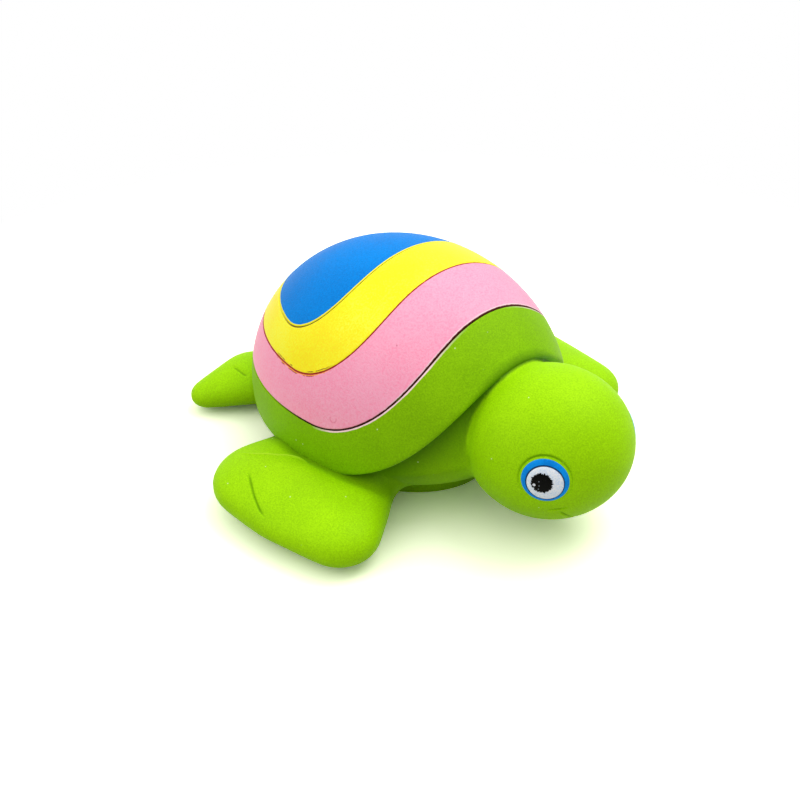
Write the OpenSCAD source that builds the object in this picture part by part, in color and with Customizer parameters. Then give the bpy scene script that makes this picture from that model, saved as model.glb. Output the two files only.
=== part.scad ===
// Squeaky bath toy: a soft vinyl sea turtle with a striped carapace.
// Nose towards -Y, belly on the floor at z = 0. All lengths are in millimetres.

/* [Carapace] */
// Width of the domed carapace
dome_width = 66; // [60:1:70]
// Length of the dome, as if its front were not cut away
dome_length = 78.8; // [74:0.4:84]
// Height of the dome above its widest level
dome_rise = 34.3; // [31:0.1:38]
// Height of the dome's widest level above the floor
dome_level = 16; // [15.5:0.1:17]
// Thickness of the vinyl skin
skin = 2; // [1.6:0.1:2.4]
// Thickness of a coat of paint on the carapace
paint = 0.3; // [0.2:0.05:0.4]
// Space around the soft crown that is pressed to squeak
crown_gap = 0.3; // [0.25:0.05:0.4]

/* [Rim and stripes] */
// Rim: how far ahead of the dome's middle it arches
rim_ahead = 33.5; // [32:0.5:35]
// Rim: how far it hangs below the widest level
rim_drop = 5.5; // [5:0.1:6.5]
// Rim: radius of its sweep from the front arch to the flanks
rim_sweep = 30; // [28:0.5:32]
// Pink stripe's edge: distance ahead of the dome's middle
pink_ahead = 23.2; // [22:0.2:25]
// Pink stripe's edge: height above the widest level
pink_height = 5.5; // [4.5:0.1:7]
// Pink stripe's edge: radius of its sweep
pink_sweep = 20; // [18:0.5:22]
// Yellow stripe's edge: distance ahead of the dome's middle
yellow_ahead = 10.5; // [9:0.1:12]
// Yellow stripe's edge: height above the widest level
yellow_height = 14.5; // [13.5:0.1:15.5]
// Yellow stripe's edge: radius of its sweep
yellow_sweep = 16; // [14:0.5:18]
// Blue patch's edge: distance behind the dome's middle
blue_behind = 0.3; // [0.1:0.1:2]
// Blue patch's edge: height above the widest level
blue_height = 20.7; // [19.5:0.1:22]
// Blue patch's edge: radius of its sweep
blue_sweep = 13; // [11:0.5:15]

/* [Torso and belly] */
// How far the torso is set in below the carapace's rim
rim_step = 3; // [2.6:0.1:4]
// Full width of the egg that shapes the torso's underside
keel_width = 69.4; // [67:0.2:71]
// Full length of that egg
keel_length = 81.6; // [80:0.2:84]
// Depth of that egg below its widest level
keel_depth = 26.9; // [26:0.1:28]
// Height of that egg's widest level above the dome's
keel_rise = 8; // [7:0.1:9]
// How far behind the dome's middle that egg is centred
keel_back = 3; // [2:0.1:4]
// Height of the torso's lower edge above the floor
belly_gap = 3.5; // [3:0.1:4]
// Width of the flat belly pad
belly_width = 43; // [41:0.5:44]
// Length of the flat belly pad
belly_length = 52; // [50:0.5:53]
// How far the belly pad's curve would reach below the torso's lower edge
belly_depth = 12; // [9:0.5:14]

/* [Head] */
// Width of the head
head_width = 34.2; // [32:0.2:36]
// Length of the head
head_length = 37.4; // [36:0.2:39]
// Height of the head
head_height = 32.8; // [31:0.2:34]
// How far the head's centre lies ahead of the dome's middle
head_ahead = 42; // [41:0.5:43]
// Height of the head's centre above the dome's widest level
head_lift = 4.5; // [4:0.1:5.5]
// Angle by which the nose is raised
head_tilt = 13.6; // [10:0.2:16]

/* [Eyes] */
// How far an eye lies ahead of the head's centre, along the head
eye_ahead = 10.6; // [9.6:0.1:11.6]
// How far an eye lies below the head's centre
eye_low = 0.4; // [0:0.1:1]
// Diameter of the blue ring
ring_d = 10; // [9.4:0.1:11]
// Diameter of the white of the eye
white_d = 7.5; // [7:0.1:8]
// How far the white lies below the middle of the ring
white_drop = 0.5; // [0.2:0.1:0.7]
// Diameter of the pupil
pupil_d = 4.2; // [3.6:0.1:4.6]
// How far the pupil lies behind the middle of the white
pupil_back = 0.8; // [0.4:0.1:1.2]
// How far the painted eye stands out of the head
eye_relief = 0.3; // [0.2:0.05:0.4]

/* [Front flippers] */
// Distance from the toy's middle plane to a front flipper's outer edge
flipper_reach = 52.5; // [51:0.5:54]
// Radius of that outer edge, seen from above
edge_round = 17.5; // [16:0.5:19]
// Distance of its centre ahead of the dome's middle
edge_ahead = 6.3; // [5:0.1:8]
// Distance of the flipper's leading edge ahead of the dome's middle
flipper_lead = 29.4; // [28:0.2:31]
// Radius of its leading corner, seen from above
lead_round = 9; // [8:0.2:10]
// Distance of that corner's centre from the middle plane
lead_out = 40.5; // [39:0.1:42]
// Distance of the flipper's trailing edge behind the dome's middle
flipper_trail = 16.3; // [15:0.1:18]
// Radius of its trailing corner, seen from above
tip_round = 13; // [11:0.5:14]
// Distance of that corner's centre from the middle plane
tip_out = 39.2; // [38:0.1:40.5]
// Radius of its root's front corner, seen from above
root_round = 4.4; // [4:0.2:6]
// Distance of that corner's centre ahead of the dome's middle
root_ahead = 13.4; // [12:0.2:15]
// Distance of the root from the middle plane
root_out = 22.4; // [21:0.2:24]
// Radius of its root's rear corner, seen from above
root_rear_round = 9; // [8:0.2:10]
// How far the root's rear corner is set in from the trailing edge
root_set_in = 4.2; // [3:0.2:5]
// Thickness of the leading corner and the outer edge
flipper_thick = 11.4; // [10:0.2:11.8]
// Thickness of the trailing corner
tip_thick = 12.6; // [11.8:0.2:13]
// Thickness of the root
root_thick = 12; // [11.6:0.2:13]
// Clearance of the flippers' underside above the floor
flipper_lift = 0.3; // [0.1:0.1:0.8]

/* [Rear flippers] */
// Distance from the toy's middle plane to a rear flipper's tip
rear_reach = 29; // [28:0.2:30.6]
// Radius of its tip, seen from above
rear_tip_round = 4.4; // [3.8:0.2:5]
// Thickness of the tip
rear_tip_thick = 6.6; // [6:0.2:7.4]
// Distance of the tip and of the broad part's rear edge behind the dome's middle
rear_trail = 49; // [48.5:0.1:50]
// Radius of its broad part, seen from above
rear_round = 9.1; // [8.5:0.1:9.7]
// Distance of that part's centre from the middle plane
rear_out = 13.3; // [12.5:0.1:14.5]
// Thickness of its broad part
rear_thick = 10.6; // [10:0.2:11.4]
// Radius of its root, seen from above
rear_root_round = 5.9; // [5.3:0.1:6.5]
// Distance of the root's centre from the middle plane
rear_root_out = 8.3; // [7.7:0.1:9.1]
// Distance of the root's centre behind the dome's middle
rear_root_behind = 30; // [29:0.5:31]
// Clearance of its underside above the floor
rear_lift = 0.7; // [0.3:0.1:1]
// Clearance of its root's underside above the floor
rear_root_lift = 2.4; // [1.6:0.2:3]

/* [Squeaker] */
// Diameter of the squeaker's barrel and of the hole in the belly that grips it
barrel_d = 13; // [12:0.1:14]
// Length of the barrel above its flange
barrel_length = 10; // [9:0.1:11]
// Wall of the barrel
barrel_wall = 1; // [0.8:0.1:1.2]
// Diameter of the flange that seats in the belly pad
flange_d = 17; // [16.5:0.1:18]
// Thickness of the flange
flange_thick = 1.2; // [1:0.1:1.4]
// Wall of the collar moulded round the hole
collar_wall = 3; // [2.8:0.1:3.4]
// Height of the collar above the belly's underside
collar_height = 6; // [5:0.1:7]
// Diameter of each air hole
air_hole_d = 1.6; // [1.2:0.1:1.8]
// Number of air holes round the middle one
air_holes = 6; // [4:1:7]
// Distance of those holes from the middle
air_hole_ring = 3.6; // [3.2:0.1:3.8]
// Length of the reed's free end
reed_length = 6; // [5:0.1:6.5]
// Width of the reed
reed_width = 3; // [2.6:0.1:3.2]
// Thickness of the reed
reed_thick = 0.2; // [0.15:0.01:0.25]
// Space round the reed, in which it can bend
reed_gap = 0.3; // [0.25:0.05:0.4]
// Diameter of the half-round trough that the reed covers
trough_d = 5; // [4.5:0.1:5.5]
// Diameter of the trough's channel
channel_d = 2.4; // [2:0.1:2.6]
// Wall at the foot of the trough
trough_wall = 0.8; // [0.6:0.1:1]
// Thickness of the plug that closes the barrel
plug_thick = 2; // [1.6:0.1:2.4]
// Height of the clamp that holds the reed
clamp_height = 1.5; // [1.2:0.1:1.8]
// Thickness of that clamp
clamp_thick = 2; // [1.8:0.1:2.4]

/* [Hidden] */

// Overrun of a cut past the surface that it opens
over = 0.5;
// Facet counts: true curves, soft hulls and the inside of the soft hulls
fine = 96;
soft = 28;
inner = 16;

dome = [dome_width / 2, dome_length / 2, dome_rise];
keel = [keel_width / 2, keel_length / 2, keel_depth];
head_size = [head_width / 2, head_length / 2, head_height / 2];
torso_floor = belly_gap - dome_level;
span = dome_width + dome_length;

lime = "#86C806";
pink = "#FF8FB4";
yellow = "#FFEC1A";
blue = "#0A86E6";

// The nose and the rear tips are as far from the origin as each other
nose = head_ahead + norm([head_size[1] * cos(head_tilt), head_size[2] * sin(head_tilt)]);
shift = (nose - rear_trail) / 2;

// The squeaker's axis, from the middle of the belly pad's underside
module belly_axis() { translate([0, shift + keel_back, 0]) children(); }
module stand() { translate([0, shift, dome_level]) children(); }

// An egg about the origin, with its poles fore and aft or, if upright, above and below
module egg(size, shrink = 0, upright = false) {
    scale([size[0] - shrink, size[1] - shrink, size[2] - shrink])
        rotate([upright ? 0 : 90, 0, 0]) sphere(1, $fn = fine);
}

// All that lies behind and above a line which comes down the front and sweeps back along the flanks
module behind_line(ahead, height, sweep) {
    rotate([90, 0, 90]) translate([0, 0, -span / 2]) linear_extrude(span) {
        translate([-ahead, height + sweep]) square(span);
        translate([sweep - ahead, height]) square(span);
        translate([sweep - ahead, height + sweep]) circle(sweep, $fn = fine);
    }
}

// The crown's outline from above follows the yellow stripe's edge
crown_share = sqrt(1 - pow(yellow_height / dome_rise, 2));
crown_corner_share = 0.81;
module crown_outline(shrink = 0) {
    wide = dome[0] * crown_share - shrink;
    long = dome[1] * crown_share - shrink;
    corner = yellow_sweep * crown_corner_share;
    front = shrink - yellow_ahead;
    intersection() {
        scale([wide, long]) circle(1, $fn = fine);
        union() {
            translate([corner - wide, front]) square([2 * (wide - corner), span]);
            translate([-wide, front + corner]) square([2 * wide, span]);
            for (side = [-1, 1])
                translate([side * (wide - corner), front + corner]) circle(corner, $fn = fine);
        }
    }
}
module crown_column(shrink = 0) { linear_extrude(dome_rise + over) crown_outline(shrink); }

module dome_skin() {
    difference() {
        egg(dome, paint);
        egg(dome, paint + skin);
    }
}
module paint_coat() {
    difference() {
        egg(dome);
        egg(dome, paint);
    }
}
module under_rim() { behind_line(rim_ahead, -rim_drop, rim_sweep); }
module carapace_outer() {
    intersection() {
        egg(dome, paint);
        under_rim();
    }
}

module carapace() {
    color(lime) stand() difference() {
        carapace_outer();
        intersection() {
            egg(dome, paint + skin);
            behind_line(rim_ahead - skin, skin - rim_drop, rim_sweep - skin);
        }
        torso_form();
        crown_column();
    }
}
module squeeze_crown() {
    color(yellow) stand() intersection() {
        dome_skin();
        crown_column(crown_gap);
    }
}
module pink_stripe() {
    color(pink) stand() difference() {
        intersection() {
            paint_coat();
            behind_line(pink_ahead, pink_height, pink_sweep);
        }
        crown_column();
    }
}
module yellow_stripe() {
    color(yellow) stand() difference() {
        intersection() {
            paint_coat();
            crown_column(crown_gap);
        }
        behind_line(-blue_behind, blue_height, blue_sweep);
    }
}
module blue_patch() {
    color(blue) stand() intersection() {
        paint_coat();
        crown_column(crown_gap);
        behind_line(-blue_behind, blue_height, blue_sweep);
    }
}

// The torso is an egg within the dome, drawn in below by a keel
module torso_form(shrink = 0) {
    intersection() {
        egg(dome, rim_step + shrink);
        translate([0, keel_back, keel_rise]) egg(keel, shrink);
    }
}
module torso() {
    color(lime) stand() difference() {
        torso_form();
        torso_form(skin);
        below(torso_floor);
        behind_line(rim_ahead - 2 * skin, 2 * skin - rim_drop, rim_sweep - 2 * skin);
        place_head() egg(head_size, skin);
    }
}
// The belly pad's side bulges out from the floor to the torso's lower edge
module pad_form(shrink = 0) {
    translate([0, keel_back, torso_floor])
        egg([belly_width / 2, belly_length / 2, belly_depth], shrink, true);
}
module above(height) { translate([-span / 2, -span / 2, height]) cube(span); }
module below(height) { translate([-span / 2, -span / 2, height - span]) cube(span); }
module belly_pad() {
    color(lime) difference() {
        union() {
            stand() difference() {
                pad_form();
                above(torso_floor);
                below(-dome_level);
                intersection() {
                    pad_form(skin);
                    above(skin - dome_level);
                }
            }
            belly_axis() cylinder(h = collar_height, d = barrel_d + 2 * collar_wall, $fn = fine);
        }
        belly_axis() translate([0, 0, -over])
            cylinder(h = collar_height + 2 * over, d = barrel_d, $fn = fine);
        belly_axis() translate([0, 0, -over]) cylinder(h = flange_thick + over, d = flange_d, $fn = fine);
    }
}

module place_head() { translate([0, -head_ahead, head_lift]) rotate([-head_tilt, 0, 0]) children(); }
module head() {
    color(lime) stand() difference() {
        place_head() egg(head_size);
        place_head() egg(head_size, skin);
        torso_form();
        carapace_outer();
    }
}

// A rounded lump of a flipper, held up by its lift from the floor
module pebble(out, behind, round, thick, lift, shrink, facets) {
    translate([out, behind, lift - dome_level + thick / 2])
        scale([round - shrink, round - shrink, thick / 2 - shrink]) sphere(1, $fn = facets);
}
module front_flipper_form(shrink = 0, facets = soft) {
    root_rear = flipper_trail - root_rear_round - root_set_in;
    lift = flipper_lift;
    hull() {
        pebble(lead_out, lead_round - flipper_lead, lead_round, flipper_thick, lift, shrink, facets);
        pebble(flipper_reach - edge_round, -edge_ahead, edge_round, flipper_thick, lift, shrink, facets);
        pebble(tip_out, flipper_trail - tip_round, tip_round, tip_thick, lift, shrink, facets);
        pebble(root_out, -root_ahead, root_round, root_thick, lift, shrink, facets);
        pebble(root_out, root_rear, root_rear_round, root_thick, lift, shrink, facets);
    }
}
// The right flipper is the one towards -X
module front_flipper(side) {
    color(lime) stand() difference() {
        scale([side, 1, 1]) front_flipper_form();
        scale([side, 1, 1]) front_flipper_form(skin, inner);
        torso_form();
        pad_form();
        carapace_outer();
    }
}
module rear_flipper_form(shrink = 0, facets = soft) {
    tip_behind = rear_trail - rear_tip_round;
    hull() {
        pebble(rear_reach - rear_tip_round, tip_behind, rear_tip_round, rear_tip_thick, rear_lift, shrink, facets);
        pebble(rear_out, rear_trail - rear_round, rear_round, rear_thick, rear_lift, shrink, facets);
        pebble(rear_root_out, rear_root_behind, rear_root_round, rear_thick, rear_root_lift, shrink, facets);
    }
}
module rear_flipper(side) {
    color(lime) stand() difference() {
        scale([side, 1, 1]) rear_flipper_form();
        scale([side, 1, 1]) rear_flipper_form(skin, inner);
        torso_form();
        pad_form();
        carapace_outer();
    }
}
module front_flipper_left() { front_flipper(1); }
module front_flipper_right() { front_flipper(-1); }
module rear_flipper_left() { rear_flipper(1); }
module rear_flipper_right() { rear_flipper(-1); }

// An eye is painted in discs about a line square to the head's side. Each disc is moved back
// and down from the ring's middle, and has a hole where the next one lies.
eye_out = head_size[0] * sqrt(1 - pow(eye_ahead / head_size[1], 2) - pow(eye_low / head_size[2], 2));
eye_turn = atan2(eye_ahead / pow(head_size[1], 2), eye_out / pow(head_size[0], 2));
module eye_disc(side, d, back, drop) {
    translate([side * eye_out, -eye_ahead, -eye_low])
        rotate([0, 0, -side * eye_turn]) translate([0, back, -drop]) rotate([0, 90, 0])
            cylinder(h = ring_d, d = d, center = true, $fn = fine);
}
module eye_coat(side, colour, d, back = 0, drop = 0, hole_d = 0, hole_back = 0, hole_drop = 0) {
    color(colour) stand() place_head() difference() {
        intersection() {
            egg(head_size, -eye_relief);
            eye_disc(side, d, back, drop);
        }
        egg(head_size);
        if (hole_d > 0) eye_disc(side, hole_d, hole_back, hole_drop);
    }
}
module eye_ring(side) { eye_coat(side, blue, ring_d, 0, 0, white_d, 0, white_drop); }
module eye_white(side) {
    eye_coat(side, "white", white_d, 0, white_drop, pupil_d, pupil_back, white_drop);
}
module pupil(side) { eye_coat(side, "black", pupil_d, pupil_back, white_drop); }
module eye_ring_left() { eye_ring(1); }
module eye_ring_right() { eye_ring(-1); }
module eye_white_left() { eye_white(1); }
module eye_white_right() { eye_white(-1); }
module pupil_left() { pupil(1); }
module pupil_right() { pupil(-1); }

// The squeaker stands on the belly's underside, and its barrel is open to the inside of the toy
casing_height = flange_thick + barrel_length;
bore_d = barrel_d - 2 * barrel_wall;
module squeaker_casing() {
    color("white") belly_axis() difference() {
        union() {
            cylinder(h = flange_thick, d = flange_d, $fn = fine);
            cylinder(h = casing_height, d = barrel_d, $fn = fine);
        }
        translate([0, 0, flange_thick]) cylinder(h = barrel_length + over, d = bore_d, $fn = fine);
        translate([0, 0, -over]) cylinder(h = flange_thick + 2 * over, d = air_hole_d, $fn = fine);
        for (i = [0 : air_holes - 1])
            rotate([0, 0, i * 360 / air_holes]) translate([air_hole_ring, 0, -over])
                cylinder(h = flange_thick + 2 * over, d = air_hole_d, $fn = fine);
    }
}

// A plug closes the barrel. A trough hangs from it, and the reed lies over the trough's flat side.
plug_under = casing_height - plug_thick;
trough_length = clamp_height + reed_length;
module reed_block() {
    color("ivory") belly_axis() difference() {
        union() {
            translate([0, 0, plug_under]) cylinder(h = plug_thick, d = bore_d, $fn = fine);
            translate([0, 0, plug_under - trough_length]) half_rod(trough_d, trough_length);
        }
        translate([0, 0, plug_under - trough_length + trough_wall])
            half_rod(channel_d, casing_height);
    }
}
// Half of a round rod, with its flat side towards -Y
module half_rod(d, length) {
    intersection() {
        cylinder(h = length, d = d, $fn = fine);
        translate([-d / 2, 0, 0]) cube([d, d, length]);
    }
}
reed_y = -reed_gap - reed_thick;
module reed() {
    color("goldenrod") belly_axis()
        translate([-reed_width / 2, reed_y, plug_under - trough_length])
            cube([reed_width, reed_thick, trough_length - reed_gap]);
}
// The clamp hangs from the plug against the trough, and the reed's root is held in its slot
module reed_clamp() {
    color("ivory") belly_axis() translate([0, 0, plug_under - clamp_height]) difference() {
        translate([-trough_d / 2, -clamp_thick, 0]) cube([trough_d, clamp_thick, clamp_height]);
        translate([-reed_width / 2 - reed_gap, reed_y - reed_gap, -over])
            cube([reed_width + 2 * reed_gap, reed_thick + 2 * reed_gap, clamp_height + 2 * over]);
    }
}

carapace();
squeeze_crown();
pink_stripe();
yellow_stripe();
blue_patch();
torso();
belly_pad();
head();
front_flipper_left();
front_flipper_right();
rear_flipper_left();
rear_flipper_right();
eye_ring_left();
eye_ring_right();
eye_white_left();
eye_white_right();
pupil_left();
pupil_right();
squeaker_casing();
reed_block();
reed();
reed_clamp();
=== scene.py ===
import bpy
import math
import numpy as np
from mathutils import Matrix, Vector
from mathutils.bvhtree import BVHTree


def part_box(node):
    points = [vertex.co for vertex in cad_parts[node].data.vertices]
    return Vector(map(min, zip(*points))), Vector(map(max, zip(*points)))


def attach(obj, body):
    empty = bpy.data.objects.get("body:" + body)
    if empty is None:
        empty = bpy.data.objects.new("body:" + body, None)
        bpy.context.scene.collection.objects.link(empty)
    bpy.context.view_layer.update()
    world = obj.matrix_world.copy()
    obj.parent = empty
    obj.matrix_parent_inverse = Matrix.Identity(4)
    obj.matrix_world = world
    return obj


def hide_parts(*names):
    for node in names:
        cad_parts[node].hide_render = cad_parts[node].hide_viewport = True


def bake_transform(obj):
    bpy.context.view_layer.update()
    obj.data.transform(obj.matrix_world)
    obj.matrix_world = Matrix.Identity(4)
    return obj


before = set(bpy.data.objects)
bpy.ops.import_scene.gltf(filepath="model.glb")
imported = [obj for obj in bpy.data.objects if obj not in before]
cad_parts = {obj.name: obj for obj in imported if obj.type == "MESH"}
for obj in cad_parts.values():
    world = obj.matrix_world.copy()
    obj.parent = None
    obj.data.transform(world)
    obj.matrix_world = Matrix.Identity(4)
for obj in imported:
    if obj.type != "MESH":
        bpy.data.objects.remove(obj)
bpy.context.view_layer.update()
print("frame loaded")

mm = 0.001  # everything is in metres, and a value marked as millimetres is multiplied by this
# Places are given from the middle of the shell's dome at its widest level
toy = {
    "domeSize": (0.033, 0.0394, 0.0343),
    "paintCoat": 0.0003,
    "headPlace": (0, -0.042, 0.0045),
    "headSize": (0.0171, 0.0187, 0.0164),
    "noseUp": math.radians(13.6),
}
domeSize = np.array(toy["domeSize"])
headSize = np.array(toy["headSize"])
domeMiddle = Vector((
    0,
    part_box("carapace")[1].y - domeSize[1] + toy["paintCoat"],
    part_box("blue_patch")[1].z - domeSize[2],
))
domeCentre = np.array(domeMiddle)
headMiddle = domeMiddle + Vector(toy["headPlace"])
tiltCos, tiltSin = math.cos(toy["noseUp"]), math.sin(toy["noseUp"])


# Camera, at the photograph's angle
cameraLook = {
    "place": (-0.1856, -0.1832, 0.1647),
    "azimuth": math.radians(-45),
    "elevation": math.radians(33),
    "lens": 59.94,
    "sensor": 36,
    "clipStart": 0.01,
}


def makeCamera():
    azimuth, elevation = cameraLook["azimuth"], cameraLook["elevation"]
    back = Vector((
        math.sin(azimuth) * math.cos(elevation),
        -math.cos(azimuth) * math.cos(elevation),
        math.sin(elevation),
    ))
    bpy.ops.object.camera_add(location=domeMiddle + Vector(cameraLook["place"]))
    camera = bpy.context.object
    camera.name = "photoCamera"
    camera.rotation_mode = "QUATERNION"
    camera.rotation_quaternion = (-back).to_track_quat("-Z", "Y")
    camera.data.lens = cameraLook["lens"]
    camera.data.sensor_width = cameraLook["sensor"]
    camera.data.clip_start = cameraLook["clipStart"]
    bpy.context.scene.camera = camera


makeCamera()
print("camera placed")


# Materials
def hexColour(text):
    shares = [int(text[i:i + 2], 16) / 255 for i in (0, 2, 4)]
    linear = [s / 12.92 if s <= 0.04045 else ((s + 0.055) / 1.055) ** 2.4 for s in shares]
    return (*linear, 1)


def addNode(tree, kind, inputs=None, **settings):
    node = tree.nodes.new("ShaderNode" + kind)
    for name, value in settings.items():
        setattr(node, name, value)
    for socket, value in (inputs or {}).items():
        if isinstance(value, bpy.types.Node):
            value = value.outputs[0]
        if isinstance(value, bpy.types.NodeSocket):
            tree.links.new(value, node.inputs[socket])
        else:
            node.inputs[socket].default_value = value
    return node


def startMaterial(name):
    material = bpy.data.materials.new(name)
    material.use_nodes = True
    tree = material.node_tree
    tree.nodes.clear()
    shader = addNode(tree, "BsdfPrincipled")
    addNode(tree, "OutputMaterial", {"Surface": shader})
    place = addNode(tree, "TexCoord").outputs["Object"]
    return material, tree, shader, place


# Soft PVC, rotationally moulded in a blasted mould: one even colour, fine grain, dull skin, specks and pits
vinylLook = {
    "colour": "9FDB00", "dull": "93CD00", "pale": "ABE706",
    "grain": 0.00032,  # the real grit is about 0.1 mm, drawn coarser so that it shows
    "cloud": 0.011, "grainShare": 0.75, "roughness": 0.58, "bump": 0.4, "gloss": 0.06, "sheen": 0.03,
    "specks": {"spacing": 0.0028, "size": 0.07, "share": 0.4, "colour": "F0FFC4"},
}
# The shell was moulded a shade darker than the head and flippers
shellVinylLook = {**vinylLook, "colour": "86BE00", "dull": "7BB000", "pale": "91CA05"}
# Flexible vinyl paint, sprayed through a mask: flat, slightly grainy, thin and ragged at the mask's edge
pinkLook = {
    "colour": "FFA4C0", "dull": "FF94B4", "pale": "FFACC6", "grain": 0.00042, "cloud": 0.012,
    "grainShare": 0.75, "roughness": 0.5, "bump": 0.8, "gloss": 0.22, "sheen": 0.08,
    "specks": {"spacing": 0.0032, "size": 0.06, "share": 0.25, "colour": "E4708E"},
}
yellowLook = {
    "colour": "FFF408", "dull": "FFE800", "pale": "FFFA3C", "grain": 0.0004, "cloud": 0.012,
    "grainShare": 0.6, "roughness": 0.46, "bump": 0.4, "gloss": 0.2, "sheen": 0.12,
    "specks": {"spacing": 0.004, "size": 0.045, "share": 0.2, "colour": "FFFBB0"},
}
blueLook = {
    "colour": "0082DA", "dull": "0078CE", "pale": "008AE4", "grain": 0.00038, "cloud": 0.012,
    "grainShare": 0.7, "roughness": 0.48, "bump": 0.6, "gloss": 0.05, "sheen": 0.04,
}
skinLook = {  # what vinyl, paint, enamel and plastic have in common here
    "tones": ((0.38, "dull"), (0.5, "colour"), (0.62, "pale")),
    "ior": 1.53,  # plasticised PVC, and near enough for the others
    "sheenRoughness": 0.3,
    "roughnessSpread": 0.05,
    "bumpHeight": 0.0001,
    "speckTint": 0.7,
    "speckHeight": 1.5,
    "pitDepth": 2.0,
    "patchFade": 0.06,
    "fullStretch": 0.7,  # a line keeps its strength over this share of its stretch
}


# The skin that vinyl and paint share, and lines along a stripe's edges: what the mask left, with painted
# shade and painted highlights
def skinMaterial(name, look, edges=(), paintedSpot=None):
    material, tree, shader, place = startMaterial(name)
    grain = addNode(tree, "TexNoise", {"Vector": place, "Scale": 1 / look["grain"], "Detail": 2,
                                       "Roughness": 0.7})
    cloud = addNode(tree, "TexNoise", {"Vector": place, "Scale": 1 / look["cloud"], "Detail": 3})
    both = addNode(tree, "Mix", {0: look["grainShare"], 2: cloud, 3: grain})
    tones = addNode(tree, "ValToRGB", {0: both})
    tones.color_ramp.elements.new(0.5)
    for element, (position, tone) in zip(tones.color_ramp.elements, skinLook["tones"]):
        element.position = position
        element.color = hexColour(look[tone])
    colour, height = tones.outputs[0], grain.outputs[0]
    for edge in edges:
        colour = edgeLine(tree, place, colour, edge)
    if "specks" in look:
        colour, height = addSpecks(tree, place, colour, height, look["specks"])
    if paintedSpot:
        colour = addPaintedSpot(tree, place, colour, paintedSpot)

    spread = skinLook["roughnessSpread"]
    rough = addNode(tree, "MapRange", {0: cloud, 1: 0.3, 2: 0.7, 3: look["roughness"] - spread,
                                       4: look["roughness"] + spread})
    bump = addNode(tree, "Bump", {"Height": height, "Strength": look["bump"],
                                  "Distance": skinLook["bumpHeight"]})
    tree.links.new(colour, shader.inputs["Base Color"])
    tree.links.new(rough.outputs[0], shader.inputs["Roughness"])
    tree.links.new(bump.outputs[0], shader.inputs["Normal"])
    shader.inputs["IOR"].default_value = skinLook["ior"]
    shader.inputs["Specular IOR Level"].default_value = look["gloss"]
    shader.inputs["Sheen Weight"].default_value = look["sheen"]
    shader.inputs["Sheen Roughness"].default_value = skinLook["sheenRoughness"]
    return material


# Grit under the skin stands up in a tone of its own, and burst bubbles leave pits
def addSpecks(tree, place, colour, height, specks):
    cells = addNode(tree, "TexVoronoi", {"Vector": place, "Scale": 1 / specks["spacing"]})
    dice = addNode(tree, "SeparateColor", {0: cells.outputs["Color"]})
    spot = addNode(tree, "MapRange", {0: cells.outputs["Distance"], 1: specks["size"] / 2, 2: specks["size"],
                                      3: 1, 4: 0}, interpolation_type="SMOOTHSTEP")
    isSpeck = addNode(tree, "Math", {0: dice.outputs[0], 1: specks["share"]}, operation="LESS_THAN")
    isPit = addNode(tree, "Math", {0: dice.outputs[1], 1: specks["share"]}, operation="LESS_THAN")
    speck = addNode(tree, "Math", {0: spot, 1: isSpeck}, operation="MULTIPLY")
    pit = addNode(tree, "Math", {0: spot, 1: isPit}, operation="MULTIPLY")
    tint = addNode(tree, "Math", {0: speck, 1: skinLook["speckTint"]}, operation="MULTIPLY")
    colour = addNode(tree, "Mix", {0: tint, 6: colour, 7: hexColour(specks["colour"])},
                     data_type="RGBA").outputs[2]
    height = addNode(tree, "Math", {0: pit, 1: -skinLook["pitDepth"], 2: height},
                     operation="MULTIPLY_ADD")
    height = addNode(tree, "Math", {0: speck, 1: skinLook["speckHeight"], 2: height},
                     operation="MULTIPLY_ADD")
    return colour, height


# A crescent or spot of another colour: the painted shade of a fingernail's dent, and the painted catchlight
# on a pupil
def addPaintedSpot(tree, place, colour, paintedSpot):
    away = addNode(tree, "VectorMath", {0: place, 1: paintedSpot["place"]}, operation="DISTANCE").outputs[1]
    off = addNode(tree, "Math", {0: away, 1: paintedSpot["radius"], 2: paintedSpot["width"]}, operation="COMPARE")
    up = addNode(tree, "SeparateXYZ", {0: place}).outputs[2]
    within = addNode(tree, "Math", {0: up, 1: paintedSpot["place"][2] + paintedSpot["upTo"]}, operation="LESS_THAN")
    mark = addNode(tree, "Math", {0: off, 1: within}, operation="MULTIPLY")
    tint = addNode(tree, "Math", {0: mark, 1: paintedSpot["strength"]}, operation="MULTIPLY")
    return addNode(tree, "Mix", {0: tint, 6: colour, 7: hexColour(paintedSpot["colour"])},
                   data_type="RGBA").outputs[2]


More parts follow.
